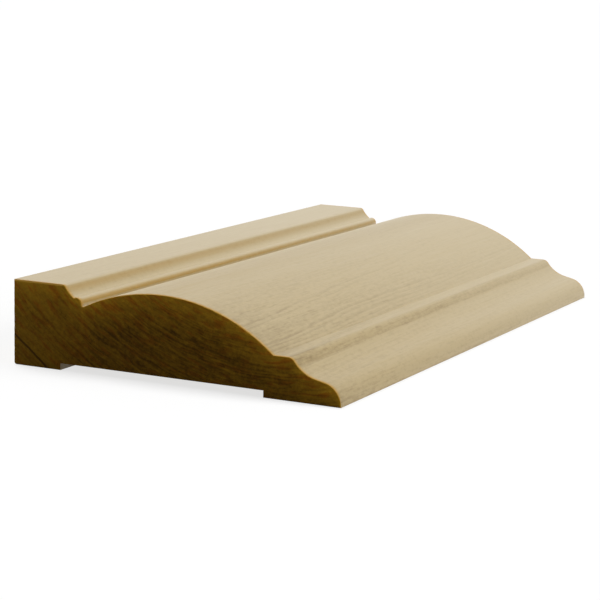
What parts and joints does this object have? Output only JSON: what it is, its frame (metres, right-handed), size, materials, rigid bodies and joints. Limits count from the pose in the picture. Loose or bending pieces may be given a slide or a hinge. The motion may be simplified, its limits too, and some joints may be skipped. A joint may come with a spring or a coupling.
{
  "type": "door casing",
  "caption": "Short length of moulded wood door casing with a flat fillet, bead, rounded belly, ledge and ogee nose over a relieved back.",
  "frame": {"origin": "middle of the bounding box, on the plane of the back lands that lie on the wall", "axes": "+X across the face from the thick edge to the nose, +Y along the grain, +Z out from the wall"},
  "size_m": [0.0794, 0.1524, 0.019],
  "materials": {
    "bare_wood": "bare sanded hardwood, matt"
  },
  "bodies": {
    "root": {"casing": "bare_wood"}
  },
  "joints": []
}
